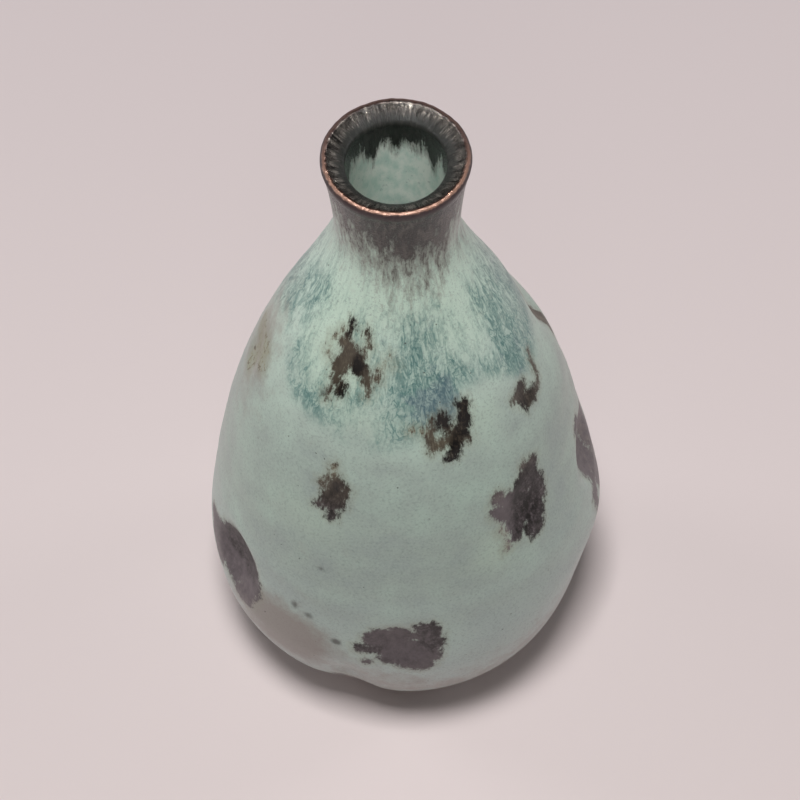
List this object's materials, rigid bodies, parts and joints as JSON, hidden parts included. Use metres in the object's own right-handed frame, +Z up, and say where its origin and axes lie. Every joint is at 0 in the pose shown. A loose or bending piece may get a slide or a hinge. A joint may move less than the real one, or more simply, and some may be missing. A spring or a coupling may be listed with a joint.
{
  "type": "bud vase",
  "caption": "Pear-shaped thrown ceramic bud vase with a narrow flared neck, thumb-pressed walls, turquoise glaze, dark glaze spots and a dark metallic lip.",
  "frame": {"origin": "centre of the foot ring's standing plane, at the bottom centre of the bounding box", "axes": "+Z up along the axis the pot was turned on, -Y towards the front, +X to the right seen from the front"},
  "size_m": [0.076, 0.076, 0.136],
  "materials": {
    "bare_clay": "bare fired stoneware, matt and slightly gritty",
    "turquoise_glaze": "satin turquoise glaze with fine speckle and blue-green runs on the shoulder",
    "liner_glaze": "satin pale turquoise glaze",
    "metallic_glaze": "glossy black-brown metallic glaze, copper coloured on the crest of the lip",
    "dark_spot_glaze": "satin brown-black glaze, mottled"
  },
  "bodies": {
    "root": {"clay_body": "bare_clay", "outer_glaze": "turquoise_glaze", "liner_glaze": "liner_glaze", "lip_glaze": "metallic_glaze", "spot_shoulder_left": "dark_spot_glaze", "spot_shoulder_front": "dark_spot_glaze", "spot_shoulder_right": "dark_spot_glaze", "spot_shoulder_far_right": "dark_spot_glaze", "spot_shoulder_far_left": "dark_spot_glaze", "spot_waist_left": "dark_spot_glaze", "spot_belly_right": "dark_spot_glaze", "spot_low_front": "dark_spot_glaze", "spot_flank_left": "dark_spot_glaze", "spot_flank_right": "dark_spot_glaze", "spot_under_left": "dark_spot_glaze", "spot_back_shoulder_left": "dark_spot_glaze", "spot_back_shoulder_right": "dark_spot_glaze", "spot_back_waist_left": "dark_spot_glaze", "spot_back_belly_right": "dark_spot_glaze", "spot_back_flank_left": "dark_spot_glaze", "spot_back_low": "dark_spot_glaze", "spot_low_right": "dark_spot_glaze"}
  },
  "joints": []
}
